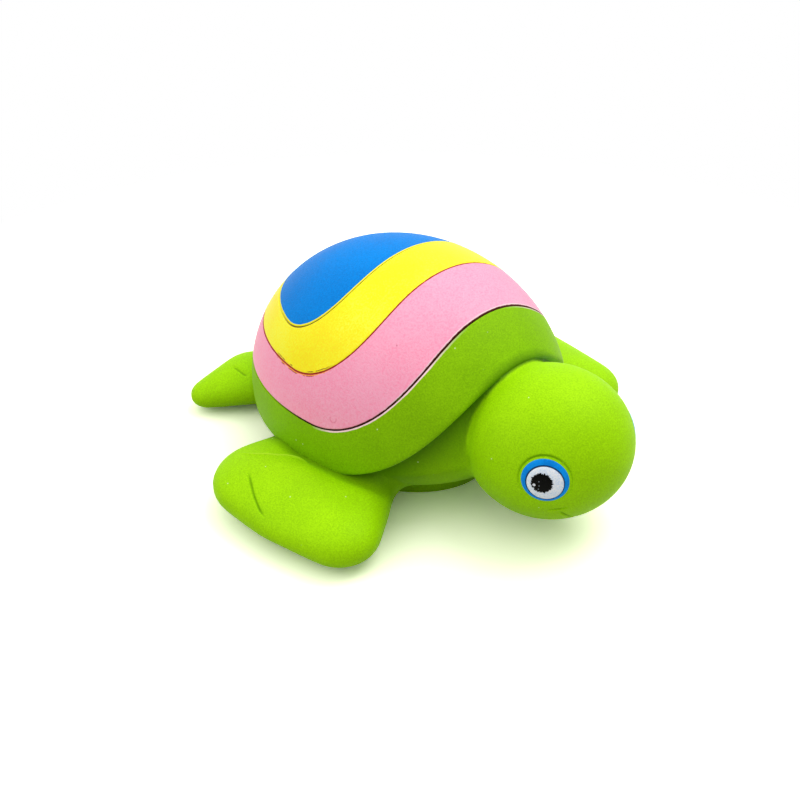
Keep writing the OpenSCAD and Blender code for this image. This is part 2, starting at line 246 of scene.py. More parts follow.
# A line of another colour along one edge of a stripe. The edge's attribute holds millimetres from the line.
def edgeLine(tree, place, colour, edge):
    distance = addNode(tree, "Attribute", attribute_name=edge["attribute"]).outputs["Fac"]
    rag = addNode(tree, "TexNoise", {"Vector": place, "Scale": 1 / edge["ragSize"], "Detail": 4,
                                     "Roughness": 0.65})
    ragged = addNode(tree, "Math", {0: rag, 1: edge["rag"], 2: distance}, operation="MULTIPLY_ADD")
    middle = edge["rag"] / 2  # a noise is 0.5 on average
    share = addNode(tree, "MapRange", {0: ragged, 1: edge["solid"] + middle, 2: edge["width"] + middle,
                                       3: 1, 4: 0})
    if "patches" in edge:  # it comes and goes along the line
        patch = addNode(tree, "TexNoise", {"Vector": place, "Scale": 1 / edge["patches"], "Detail": 1})
        there = addNode(tree, "MapRange", {0: patch, 1: edge["gone"],
                                           2: edge["gone"] + skinLook["patchFade"]})
        share = addNode(tree, "Math", {0: share, 1: there}, operation="MULTIPLY")
    if "along" in edge:  # it keeps to a stretch, told by how far forward and up it lies from the middle
        centre, reach = edge["along"]
        at = addNode(tree, "SeparateXYZ", {0: place})
        forward = addNode(tree, "Math", {0: at.outputs[2], 1: at.outputs[1]}, operation="SUBTRACT")
        away = addNode(tree, "Math", {0: forward, 1: domeMiddle.z - domeMiddle.y + centre},
                       operation="SUBTRACT")
        away = addNode(tree, "Math", {0: away}, operation="ABSOLUTE")
        near = addNode(tree, "MapRange", {0: away, 1: reach * skinLook["fullStretch"], 2: reach, 3: 1, 4: 0})
        share = addNode(tree, "Math", {0: share, 1: near}, operation="MULTIPLY")
    return addNode(tree, "Mix", {0: share, 6: colour, 7: hexColour(edge["colour"])},
                   data_type="RGBA").outputs[2]


# Mesh helpers
def selectOnly(*objects):
    bpy.ops.object.select_all(action="DESELECT")
    for piece in objects:
        piece.select_set(True)
    bpy.context.view_layer.objects.active = objects[0]


def editAll(piece):  # edit mode, with all of the piece selected
    selectOnly(piece)
    bpy.ops.object.mode_set(mode="EDIT")
    bpy.ops.mesh.select_all(action="SELECT")


def applyModifier(piece, kind, **settings):
    selectOnly(piece)
    modifier = piece.modifiers.new(kind.lower(), kind)
    for name, value in settings.items():
        setattr(modifier, name, value)
    bpy.ops.object.modifier_apply(modifier=modifier.name)


def settle(piece):  # its place, turn and size go into its mesh
    selectOnly(piece)
    bpy.ops.object.transform_apply(location=True, rotation=True, scale=True)


def giveMaterial(piece, material):
    piece.data.materials.clear()
    piece.data.materials.append(material)


def keepAttribute(piece, name, values):
    attribute = piece.data.attributes.new(name, "FLOAT", "POINT")
    attribute.data.foreach_set("value", np.asarray(values, np.float32))


def readTriples(items, name):
    values = np.empty(len(items) * 3)
    items.foreach_get(name, values)
    return values.reshape(-1, 3)


def readPoints(piece):
    return readTriples(piece.data.vertices, "co")


def writePoints(piece, points):
    piece.data.vertices.foreach_set("co", points.ravel())
    piece.data.update()


def cleanMesh(piece):  # doubles merged, then all faces turned outwards
    editAll(piece)
    bpy.ops.mesh.remove_doubles(threshold=1e-6)
    bpy.ops.mesh.normals_make_consistent(inside=False)
    bpy.ops.object.mode_set(mode="OBJECT")


def cutAway(piece, point, normal):  # what lies on the normal's side goes, and the cut is closed
    editAll(piece)
    bpy.ops.mesh.bisect(plane_co=point, plane_no=normal, use_fill=True, clear_outer=True)
    bpy.ops.object.mode_set(mode="OBJECT")


def addEgg(name, middle, size, turn=0.0, segments=128, rings=96):
    bpy.ops.mesh.primitive_uv_sphere_add(segments=segments, ring_count=rings, radius=1, location=middle,
                                         rotation=(turn, 0, 0), scale=size)
    egg = bpy.context.object
    egg.name = name
    settle(egg)
    return egg


def combine(piece, other, operation):
    applyModifier(piece, "BOOLEAN", object=other, operation=operation, solver="EXACT")
    bpy.data.objects.remove(other)


def smoothStep(values):
    values = np.clip(values, 0, 1)
    return values * values * (3 - 2 * values)


# How far points lie outside an egg of this size, measured towards its middle. It is negative inside the egg.
def outsideEgg(points, size):
    level = np.sqrt(((points / size) ** 2).sum(1))
    return (level - 1) / level * np.linalg.norm(points, axis=1)


def surfaceTree(piece):
    corners = [vertex.co for vertex in piece.data.vertices]
    return BVHTree.FromPolygons(corners, [polygon.vertices[:] for polygon in piece.data.polygons])


def distancesTo(tree, points, limit):
    found = np.full(len(points), limit)
    for i, point in enumerate(points):
        hit = tree.find_nearest(Vector(point), limit)
        if hit[3] is not None:
            found[i] = hit[3]
    return found


def smoothWhere(piece, weights, times):
    levels = 20
    group = piece.vertex_groups.new(name="fillet")
    for level in range(1, levels + 1):
        chosen = np.flatnonzero((weights * levels).round() == level)
        if len(chosen):
            group.add(chosen.tolist(), level / levels, "REPLACE")
    applyModifier(piece, "SMOOTH", vertex_group="fillet", factor=0.5, iterations=times)
    piece.vertex_groups.clear()


# A grid is laid on the given rows, and closed both ways where its ends meet
def layRing(name, rows, material):
    rows = np.array(rows)
    rows = np.concatenate([rows, rows[:1]])
    rows = np.concatenate([rows, rows[:, :1]], 1)
    across, around = rows.shape[0] - 1, rows.shape[1] - 1
    bpy.ops.mesh.primitive_grid_add(x_subdivisions=across, y_subdivisions=around, size=1, location=(0, 0, 0))
    piece = bpy.context.object
    piece.name = name
    flat = readPoints(piece)
    i, j = (((flat[:, k] + 0.5) * count).round().astype(int) for k, count in ((0, across), (1, around)))
    writePoints(piece, rows[i, j] + domeCentre)
    giveMaterial(piece, material)
    return piece, i % across


# The striped shell
# Each line comes down the front and sweeps back along both flanks. The last one shrinks into the blue patch.
shellLines = {
    "rim": (0.0335, -0.0055, 0.030),  # distance ahead, height, radius of the sweep
    "pink": (0.0232, 0.0055, 0.020),
    "yellow": (0.0105, 0.0145, 0.016),
    "blue": (-0.0003, 0.0207, 0.013),
    "heart": (-0.0100, 0.0290, 0.004),
}
shellLook = {
    "roundSteps": 260,  # points along half of a line
    "fineSteps": 3000,  # points on each stretch of a line before they are spaced evenly
    "middleRows": {"carapaceShell": 12, "pinkStripe": 10, "yellowStripe": 8, "bluePatch": 9},
    "heartRows": 8,
    "wallRows": 5,
    "wall": 0.0016,
    # Millimetres in from the line, and millimetres below the dome
    "grooves": {
        "pink": ((0, 0.32), (0.07, 0.27), (0.14, 0.14), (0.22, 0.03), (0.36, -0.03), (0.6, -0.03), (1, 0)),
        "yellow": ((0, 0.22), (0.05, 0.18), (0.1, 0.08), (0.18, 0.02), (0.3, -0.02), (0.55, -0.02), (1, 0)),
        "blue": ((0, 0.18), (0.04, 0.14), (0.08, 0.06), (0.15, 0.01), (0.3, -0.01), (0.55, -0.01), (1, 0)),
    },
    "lip": ((0.9, 3.7), (0.35, 3.4), (0.1, 2.6), (0.0, 1.8), (0.0, 0.95), (0.08, 0.55), (0.27, 0.26),
            (0.56, 0.07), (0.92, 0), (1.4, 0)),
    "far": 9,  # millimetres from a line that count as away from it
    "sharpAngle": 50,
    # The soft crown sinks between these two points, given from the floor
    "sinkFrom": (0, 0.0069, 0.0267),
    "sinkTo": (0, 0.01225, 0.0475),
}


# The points of a line round the dome, moved up the dome or under its skin
def shellRow(line, inwards=0.0, below=0.0):
    ahead, height, sweep = line[0] - inwards, line[1] + inwards, line[2] - inwards
    wide, long, tall = domeSize
    steps = shellLook["fineSteps"]
    # Down the front, round the sweep and along the flank, in the side view
    turn = np.linspace(0, math.pi / 2, steps)
    front = np.linspace(tall, height + sweep, steps)
    flank = np.linspace(sweep - ahead, long, steps)
    along = np.concatenate([np.full(steps, -ahead), sweep - ahead - sweep * np.cos(turn), flank])
    up = np.concatenate([front, height + sweep - sweep * np.sin(turn), np.full(steps, height)])
    inside = (along / long) ** 2 + (up / tall) ** 2 < 1
    first, last = np.flatnonzero(inside)[[0, -1]]

    def edgePoint(i, j):  # where the side view's outline crosses the line, found by halving
        low, high = 0.0, 1.0
        for _ in range(50):
            share = (low + high) / 2
            y, z = along[i] + share * (along[j] - along[i]), up[i] + share * (up[j] - up[i])
            low, high = (share, high) if (y / long) ** 2 + (z / tall) ** 2 < 1 else (low, share)
        return y, z

    starts, ends = edgePoint(first, first - 1), edgePoint(last, last + 1)
    along = np.concatenate([[starts[0]], along[first:last + 1], [ends[0]]])
    up = np.concatenate([[starts[1]], up[first:last + 1], [ends[1]]])
    # The points are then spaced evenly along the line, because x changes fastest near the outline
    x = wide * np.sqrt(np.clip(1 - (along / long) ** 2 - (up / tall) ** 2, 0, None))
    x[[0, -1]] = 0
    points = np.stack([-x, along, up], 1)
    length = np.concatenate([[0], np.cumsum(np.linalg.norm(np.diff(points, axis=0), axis=1))])
    places = np.linspace(0, length[-1], shellLook["roundSteps"] + 1)
    half = np.stack([np.interp(places, length, points[:, k]) for k in range(3)], 1)
    full = np.concatenate([half, half[-2:0:-1] * [-1, 1, 1]])
    normal = full / domeSize ** 2
    normal /= np.linalg.norm(normal, axis=1, keepdims=True)
    return full - below * normal


def lineBetween(first, second, share):
    return tuple(a + share * (b - a) for a, b in zip(first, second))


# A band of the shell from one line up to the next, closed to a thin wall
def makeBand(name, lowLine, highLine, material, replaced):
    low, high = shellLines[lowLine], shellLines[highLine]
    far, wall, grooves = shellLook["far"], shellLook["wall"], shellLook["grooves"]
    lowEdge = shellLook["lip"] if lowLine == "rim" else grooves[lowLine]
    rows, fromLow, fromHigh = [], [], []

    def addRow(points, lowMm=far, highMm=far):
        rows.append(points)
        fromLow.append(lowMm)
        fromHigh.append(highMm)

    for inwards, below in lowEdge:
        addRow(shellRow(low, inwards * mm, below * mm), lowMm=inwards)
    lowStop = tuple(v + s * lowEdge[-1][0] * mm for v, s in zip(low, (-1, 1, -1)))
    middle = shellLook["middleRows"][name]
    if highLine == "heart":
        for i in range(1, middle + 1):
            addRow(shellRow(lineBetween(lowStop, high, i / middle)))
        heart = shellRow(high)
        for share in np.linspace(1, 0, shellLook["heartRows"] + 1)[1:]:  # the patch closes on its middle
            row = heart.mean(0) + share * (heart - heart.mean(0))
            addRow(row / np.sqrt(((row / domeSize) ** 2).sum(1, keepdims=True)))
        addRow(rows[-1] * (1 - wall / domeSize[2]))
    else:
        grooveEnd = grooves[highLine][-1][0] * mm
        highStop = tuple(v + s * grooveEnd for v, s in zip(high, (1, -1, 1)))
        for i in range(1, middle):
            addRow(shellRow(lineBetween(lowStop, highStop, i / middle)))
        for outwards, below in reversed(grooves[highLine]):
            addRow(shellRow(high, -outwards * mm, below * mm), highMm=outwards)
    lastRow = shellLook["wallRows"] - 1
    # The lip is thicker than the wall behind it, so the rim's band does without the last row
    for i in range(lastRow if lowLine == "rim" else lastRow + 1):
        addRow(shellRow(lineBetween(high, low, i / lastRow), 0, wall), 0 if i == lastRow else far,
               0 if i == 0 else far)
    piece, row = layRing(name, rows, material)
    keepAttribute(piece, "lowEdge", np.array(fromLow)[row])
    keepAttribute(piece, "highEdge", np.array(fromHigh)[row])
    cleanMesh(piece)
    bpy.ops.object.shade_smooth_by_angle(angle=math.radians(shellLook["sharpAngle"]))
    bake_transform(piece)
    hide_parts(*replaced)
    return piece


# What the mask left along each line, with painted highlights and painted shade at its groove, in millimetres
# from it: solid to here, gone by there, straying this much
greenHighEdges = (
    {"attribute": "highEdge", "colour": "FFD8DA", "solid": 0.46, "width": 0.52, "rag": 0.3, "ragSize": 0.0018,
     "along": (0.0295, 0.021)},  # pink that crept past the groove, drawn pale as a painted highlight on its raised edge
    # dark brown where the pink overlaps the green in the groove, drawn darker as painted shade
    {"attribute": "highEdge", "colour": "241004", "solid": 0.14, "width": 0.22, "rag": 0.16,
     "ragSize": 0.0016, "along": (0.034, 0.042)},
    # Painted shade darkens the shell in the fold where the head comes out of it
    {"attribute": "headNear", "colour": "406A00", "solid": 0, "width": 3.4, "rag": 0.8, "ragSize": 0.004},
)
pinkEdges = (
    # a painted highlight along the pink's raised edge above the groove
    {"attribute": "lowEdge", "colour": "FFD2DC", "solid": 0.42, "width": 0.50, "rag": 0.24, "ragSize": 0.0016,
     "along": (0.054, 0.026)},
    # dark brown where the pink overlaps the green in the groove, drawn darker as painted shade
    {"attribute": "lowEdge", "colour": "581808", "solid": 0.20, "width": 0.28, "rag": 0.30, "ragSize": 0.0012,
     "along": (0.034, 0.042)},
    {"attribute": "highEdge", "colour": "B03A3A", "solid": 0.54, "width": 0.60, "rag": 0.5, "ragSize": 0.0016,
     "along": (0.0125, 0.0115), "patches": 0.002, "gone": 0.47},
    {"attribute": "highEdge", "colour": "F4A040", "solid": 0.34, "width": 0.40, "rag": 0.5, "ragSize": 0.0012,
     "along": (0.0125, 0.0115)},  # yellow that ran under the mask
    {"attribute": "highEdge", "colour": "B01030", "solid": 0.16, "width": 0.24, "rag": 0.24,
     "ragSize": 0.0014},
)
yellowEdges = (
    {"attribute": "lowEdge", "colour": "8A3A14", "solid": 0.46, "width": 0.54, "rag": 0.4, "ragSize": 0.0016,
     "along": (0.0125, 0.0115), "patches": 0.0026, "gone": 0.48},
    {"attribute": "lowEdge", "colour": "FFE418", "solid": 0.32, "width": 0.38, "rag": 0.4, "ragSize": 0.0016,
     "along": (0.0125, 0.0115)},
    {"attribute": "lowEdge", "colour": "B01428", "solid": 0.09, "width": 0.16, "rag": 0.2, "ragSize": 0.0014},
    # a dark line where the paints overlap at the blue's groove, drawn darker as painted shade
    {"attribute": "highEdge", "colour": "6E4A06", "solid": 0.17, "width": 0.24, "rag": 0.14,
     "ragSize": 0.0012, "along": (0.034, 0.034)},
)
blueEdges = (  # the blue stops short of the groove
    {"attribute": "lowEdge", "colour": "FFF62A", "solid": 0.33, "width": 0.38, "rag": 0.2, "ragSize": 0.0022},
    # a dark line where the paints overlap at the blue's groove, drawn darker as painted shade
    {"attribute": "lowEdge", "colour": "64480A", "solid": 0.03, "width": 0.07, "rag": 0.08, "ragSize": 0.0012,
     "along": (0.034, 0.034)},
)
# The shade of a fingernail's crescent dent in the pink is painted in its colour
nailDentShade = {
    "place": domeMiddle + Vector((-0.03104, -0.00872, 0.00884)),
    "radius": 0.0008, "width": 0.00013, "upTo": 0.0002, "strength": 0.5, "colour": "E46C90",
}

shellVinyl = skinMaterial("limePvcVinylShell", shellVinylLook, greenHighEdges)
pinkPaint = skinMaterial("pinkVinylPaintSprayed", pinkLook, pinkEdges, nailDentShade)
yellowPaint = skinMaterial("yellowVinylPaintSprayed", yellowLook, yellowEdges)
bluePaint = skinMaterial("blueVinylPaintSprayed", blueLook, blueEdges)

shell = makeBand("carapaceShell", "rim", "pink", shellVinyl, ["carapace"])
makeBand("pinkStripe", "pink", "yellow", pinkPaint, ["pink_stripe"])
makeBand("yellowStripe", "yellow", "blue", yellowPaint, ["yellow_stripe", "squeeze_crown"])
makeBand("bluePatch", "blue", "heart", bluePaint, ["blue_patch"])
print("shell and stripes made")


# The moulded body: torso, head and flippers in one skin
bodyLook = {
    "voxel": 0.0007,
    "rimStep": 0.003,
    "keelSize": (0.0347, 0.0408, 0.0269),
    "keelPlace": (0, 0.003, 0.008),
    "underside": 0.0035,  # the torso's lower edge above the floor
    "padSize": (0.0215, 0.026, 0.012),
    "padPlace": (0, 0.003, -0.0125),
    "sinkPlane": shellLook["sinkFrom"],  # nothing hidden is left above it, so that the crown can sink
    "sinkNormal": (0, 0.25, 0.97),
    "pocketRadius": 0.006,
    "pocketRoom": 0.0012,
    "neckBelow": 0.00003,  # the neck's patch lies this far under the dome
    "neckBehind": 0.0009,  # and this far behind the rim's line
    "neckEnd": -0.020,
    "creases": (  # which parts meet, the fillet's reach, how often it is smoothed, the height it stays under
        ("head", "neckPatch", 0.0030, 25, 1),
        ("head", "torso", 0.0028, 19, 1),
        ("frontFlippers", "torso", 0.0080, 185, -0.0070),
        ("rearFlippers", "torso", 0.0035, 37, -0.0060),
        ("frontFlippers", "frontFlippers", 0.0012, 43, 1),
        ("rearFlippers", "rearFlippers", 0.0012, 25, 1),
    ),
    "creaseFade": 0.003,
    "lastSmoothing": 2,
    "dip": 0.0009,
    "dipReach": 0.0022,
    "dipFrom": 0.0085,  # it grows from this far below the middle of the dome, over the next length
    "dipRise": 0.003,
    "dipBeside": 0.012,  # and from this far beside it
    "dipSpread": 0.006,
    "dipBefore": 0.007,  # and is gone this far behind it
}
# Each pebble of a flipper: out, back, radius, thickness, height off the floor. A hull is drawn round them.
frontPebbles = (
    (0.0405, -0.0204, 0.0090, 0.0114, 0.0003),
    (0.0350, -0.0063, 0.0175, 0.0114, 0.0003),
    (0.0392, 0.0033, 0.0130, 0.0126, 0.0003),
    (0.0224, -0.0134, 0.0044, 0.0120, 0.0003),
    (0.0224, 0.0031, 0.0090, 0.0120, 0.0003),
    (0.0360, -0.0060, 0.0090, 0.0131, 0.0003),  # the crown of its top
)
rearPebbles = (
    (0.0246, 0.0446, 0.0044, 0.0066, 0.0007),
    (0.0133, 0.0399, 0.0091, 0.0106, 0.0007),
    (0.0083, 0.0300, 0.0059, 0.0106, 0.0024),
)
# Painted shade in the fold under the shell, painted shade in the marks, and a painted highlight along the
# raised seam
bodyEdges = (
    {"attribute": "shellNear", "colour": "447000", "solid": 0, "width": 13, "rag": 0.8, "ragSize": 0.004},
    {"attribute": "markNear", "colour": "7CB000", "solid": 0.04, "width": 0.34, "rag": 0.1, "ragSize": 0.001},
    {"attribute": "seamNear", "colour": "B8E62C", "solid": 0.02, "width": 0.3, "rag": 0.2, "ragSize": 0.001},
)


def makeFlipper(name, pebbles, side):
    stones = []
    for out, behind, radius, thick, lift in pebbles:
        place = Vector((side * out, domeMiddle.y + behind, lift + thick / 2))
        stones.append(addEgg("pebble", place, (radius, radius, thick / 2), segments=64, rings=40))
    selectOnly(*stones)
    bpy.ops.object.join()
    flipper = bpy.context.object
    flipper.name = name
    editAll(flipper)
    bpy.ops.mesh.convex_hull()
    bpy.ops.object.mode_set(mode="OBJECT")
    cleanMesh(flipper)
    pad = addEgg("padBlank", domeMiddle + Vector(bodyLook["padPlace"]), bodyLook["padSize"])
    combine(flipper, pad, "DIFFERENCE")
    return flipper


# A block whose lower front edge is rounded, so that it holds what lies behind a line of the shell
def addLineBlock(line, inset):
    ahead, height, sweep = line[0] - inset, line[1] + inset, line[2] - inset
    deep, slack = 0.12, 0.01  # well past the toy on every other side
    middle = domeMiddle + Vector((0, deep / 2 - ahead, deep / 2 + height))
    bpy.ops.mesh.primitive_cube_add(size=1, location=middle, scale=(deep, deep, deep))
    block = bpy.context.object
    settle(block)
    bpy.ops.object.mode_set(mode="EDIT")
    bpy.ops.mesh.select_all(action="DESELECT")
    bpy.ops.object.mode_set(mode="OBJECT")
    for edge in block.data.edges:
        ends = [block.data.vertices[i].co - domeMiddle for i in edge.vertices]
        edge.select = all(e.y < slack - ahead and e.z < slack + height for e in ends)
    bpy.ops.object.mode_set(mode="EDIT")
    bpy.ops.mesh.select_mode(type="EDGE")
    bpy.ops.mesh.bevel(offset=sweep, segments=40, affect="EDGES")
    bpy.ops.object.mode_set(mode="OBJECT")
    return block


def makeTorso():
    torso = addEgg("torsoBlank", domeMiddle, domeSize - bodyLook["rimStep"])
    keel = addEgg("keelBlank", domeMiddle + Vector(bodyLook["keelPlace"]), bodyLook["keelSize"])
    combine(torso, keel, "INTERSECT")
    cutAway(torso, (0, 0, bodyLook["underside"]), (0, 0, -1))
    cutAway(torso, bodyLook["sinkPlane"], bodyLook["sinkNormal"])
    # The squeaker's pocket: its side lies inside the barrel's wall, and its end is clear of the barrel
    low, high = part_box("squeaker_casing")
    deep = high.z + bodyLook["pocketRoom"]
    bpy.ops.mesh.primitive_cylinder_add(vertices=96, radius=bodyLook["pocketRadius"], depth=deep * 2,
                                        location=((low.x + high.x) / 2, (low.y + high.y) / 2, 0))
    pocket = bpy.context.object
    settle(pocket)
    combine(torso, pocket, "DIFFERENCE")
    return torso


# A patch of the dome lies just under the shell where the head comes out of it
def makeNeckPatch():
    patch = addEgg("neckPatch", domeMiddle, domeSize - bodyLook["neckBelow"])
    combine(patch, addLineBlock(shellLines["rim"], bodyLook["neckBehind"]), "INTERSECT")
    cutAway(patch, domeMiddle + Vector((0, bodyLook["neckEnd"], 0)), (0, 1, 0))
    cutAway(patch, bodyLook["sinkPlane"], bodyLook["sinkNormal"])
    return patch


# The flippers' tops dip where they run in under the shell
def dipFlippers(body):
    points = readPoints(body) - domeCentre
    x, y, z = points.T
    dip = bodyLook["dip"] * np.exp(-(outsideEgg(points, domeSize) / bodyLook["dipReach"]) ** 2)
    dip *= smoothStep((z + bodyLook["dipFrom"]) / bodyLook["dipRise"])
    dip *= smoothStep((np.abs(x) - bodyLook["dipBeside"]) / bodyLook["dipSpread"])
    dip *= smoothStep((bodyLook["dipBefore"] - y) / bodyLook["dipBefore"])
    dip *= z < 0
    points[:, 2] -= dip
    writePoints(body, points + domeCentre)


def makeBody():
    parts = {
        "torso": [makeTorso()],
        "neckPatch": [makeNeckPatch()],
        "head": [addEgg("headBlank", headMiddle, headSize, turn=-toy["noseUp"])],
        "frontFlippers": [makeFlipper("frontFlipper", frontPebbles, side) for side in (-1, 1)],
        "rearFlippers": [makeFlipper("rearFlipper", rearPebbles, side) for side in (-1, 1)],
    }
    trees = {name: [surfaceTree(p) for p in pieces] for name, pieces in parts.items()}
    selectOnly(*[p for pieces in parts.values() for p in pieces])
    bpy.ops.object.join()
    body = bpy.context.object
    body.name = "vinylBody"
    applyModifier(body, "REMESH", mode="VOXEL", voxel_size=bodyLook["voxel"], adaptivity=0)
    print("body skinned:", len(body.data.polygons), "faces")
    for first, second, reach, times, top in bodyLook["creases"]:
        points = readPoints(body)
        near = [np.min([distancesTo(t, points, reach) for t in trees[part]], 0) for part in (first, second)]
        below = smoothStep((domeMiddle.z + top - points[:, 2]) / bodyLook["creaseFade"])
        smoothWhere(body, smoothStep(1 - np.maximum(*near) / reach) * below, times)
    smoothWhere(body, np.ones(len(body.data.vertices)), bodyLook["lastSmoothing"])
    dipFlippers(body)
    return body


# Points given on the head's own egg, turned up with it and measured from the middle of the dome
def fromHead(points):
    x, y, z = np.asarray(points).T
    return np.stack([x, y * tiltCos + z * tiltSin, z * tiltCos - y * tiltSin], 1) + np.array(toy["headPlace"])


def outsideHead(points):
    x, y, z = (points - np.array(headMiddle)).T
    return outsideEgg(np.stack([x, y * tiltCos - z * tiltSin, z * tiltCos + y * tiltSin], 1), headSize)


foldLook = {
    "reach": 0.016,  # the fold's shade is gone by this distance from the shell
    "beyondRim": 0.012,  # and beyond the rim the skin counts as this much further from it
    "rimFrom": -0.003,
    "rimFade": 0.007,
    "onHead": 0.013,  # and on the head as this much
    "headSkin": 0.0007,
    "headAhead": 0.0045,
    "headFoot": 0.002,
    "headRise": 0.006,
}


# How far the skin is from the fold under the shell's rim. Beyond the rim, and on the head, the light gets in.
def farFromFold(points):
    local = points - domeCentre
    beyond = (np.linalg.norm(local[:, :2] / domeSize[:2], axis=1) - 1) * domeSize[0]
    pastRim = smoothStep((beyond - foldLook["rimFrom"]) / foldLook["rimFade"])
    ahead = smoothStep(outsideEgg(local, domeSize) / foldLook["headAhead"])
    above = smoothStep((local[:, 2] - foldLook["headFoot"]) / foldLook["headRise"])
    byHead = smoothStep(1 - outsideHead(points) / foldLook["headSkin"]) * np.maximum(ahead, above)
    distance = distancesTo(surfaceTree(shell), points, foldLook["reach"])
    return distance + foldLook["beyondRim"] * pastRim + foldLook["onHead"] * byHead


# Each eye is three discs on a low button. A profile holds the radius and the height above the head's skin.
eyeLook = {
    "ahead": 0.0106,
    "low": 0.0006,
    "whiteDrop": 0.42,  # millimetres from here on
    "pupilBack": 0.55,
    "pupilUp": 0.3,
    "ring": ((3.7, -0.7), (3.71, 0.0), (3.76, 0.10), (3.87, 0.14), (4.1, 0.15), (4.5, 0.11), (4.8, 0.03),
             (4.98, -0.08), (5.05, -0.25), (5.06, -0.7)),
    "white": ((0, -0.7), (3.7, -0.7), (3.77, -0.05), (3.75, 0.1), (3.62, 0.18), (3.35, 0.24), (2.8, 0.30),
              (2.0, 0.36), (1.0, 0.40), (0, 0.42)),
    "pupil": ((0, 0.1), (2.15, 0.1), (2.15, 0.38), (2.06, 0.45), (1.7, 0.48), (0.9, 0.51), (0, 0.52)),
    "ringFlat": (4.6, 0.9),  # the ring's inner side follows the white down, from this radius over this width
    "pupilRag": 0.045,
    "around": 160,
    "sharpAngle": 60,
}
aheadShare, lowShare = eyeLook["ahead"] / headSize[1], eyeLook["low"] / headSize[2]
eyeOut = headSize[0] * math.sqrt(1 - aheadShare ** 2 - lowShare ** 2)
eyeTurn = math.atan2(eyeLook["ahead"] / headSize[1] ** 2, eyeOut / headSize[0] ** 2)


# Where on the disc of an eye: millimetres back and up on it, and above the head's skin
def onHead(side, back, up, above):
    back, up, above = np.asarray(back) * mm, np.asarray(up) * mm, np.asarray(above) * mm
    outward = np.array([side * math.cos(eyeTurn), -math.sin(eyeTurn), 0])
    backward = np.array([side * math.sin(eyeTurn), math.cos(eyeTurn), 0])
    start = np.array([side * eyeOut, -eyeLook["ahead"], -eyeLook["low"]])
    start = start + np.outer(back, backward) + np.outer(up, [0, 0, 1])
    # How far out the head's skin is solves a quadratic equation with these three factors
    square = ((outward / headSize) ** 2).sum()
    linear = 2 * (start * outward / headSize ** 2).sum(1)
    constant = ((start / headSize) ** 2).sum(1) - 1
    reach = (-linear + np.sqrt(linear * linear - 4 * square * constant)) / (2 * square)
    points = start + reach[:, None] * outward
    normal = points / headSize ** 2
    return fromHead(points + above[:, None] * normal / np.linalg.norm(normal, axis=1, keepdims=True))


def onEgg(x, z):  # the point on the front of the head's egg
    y = -headSize[1] * np.sqrt(1 - (x / headSize[0]) ** 2 - (z / headSize[2]) ** 2)
    return fromHead(np.stack([x, y, z], 1))


def onSkin(tree, x, y):  # the point of the skin below this place
    above = domeMiddle + Vector((x, y, 0))
    return (tree.ray_cast(above, Vector((0, 0, -1)))[0] or tree.find_nearest(above)[0]) - domeMiddle


markLook = {
    "mouth": {"reach": 0.0107, "corner": -0.00915, "fall": 0.00567, "width": 0.00032, "depth": 0.0006,
              "points": 61, "cornerDepth": 0.25, "ends": 8},
    "cheek": {"path": ((0.0122, -0.00848), (0.0115, -0.0084), (0.0108, -0.00827), (0.0101, -0.0081)),
              "fade": (0.3, 1, 1, 0.3), "width": 0.0003, "depth": 0.0006},
    # The ring round the eye's button, its radius in millimetres, is deeper at its top
    "socket": {"radius": 5.5, "points": 73, "middle": 0.55, "swing": 0.45, "width": 0.0003, "depth": 0.00042},
    # Sink marks, wrinkles and one raised seam on the flippers: corners in millimetres, half width, depth
    "creases": (
        (((-43.9, 5.2), (-46.6, 0.9), (-48.4, -2.2), (-49.8, -5.6), (-50.4, -8.2)), 0.00036, 0.00042),
        (((-41.4, 12.4), (-41.0, 7.4), (-38.7, 4.7), (-37.4, 2.4), (-35.4, 0.6), (-34.2, -2.0),
          (-34.6, -5.8)), 0.0004, -0.0004),
        (((-18.2, 42.3), (-18.4, 40.2), (-18.5, 37.7), (-18.2, 35.9)), 0.0005, 0.0003),
        (((44.0, 6.2), (47.0, 1.4), (49.4, -3.8)), 0.0006, 0.0003),
        (((17.6, 41.0), (18.4, 38.6), (18.4, 36.0)), 0.0006, 0.0003),
    ),
    "creasePoints": 25,
    "bends": 3,  # how often a crease's corners are softened
    # Rounds in which the skin is made finer: the half widths it reaches, and the widest mark it is for
    "rounds": ((2.8, 1), (2.2, 1), (1.7, 0.00045)),
    "margin": 0.0004,
    "softened": 3.4,
    "smoothing": 6,
    "steepness": 1.6,
    "toneFar": 9.0,  # millimetres
    "toneEnds": 0.4,
}


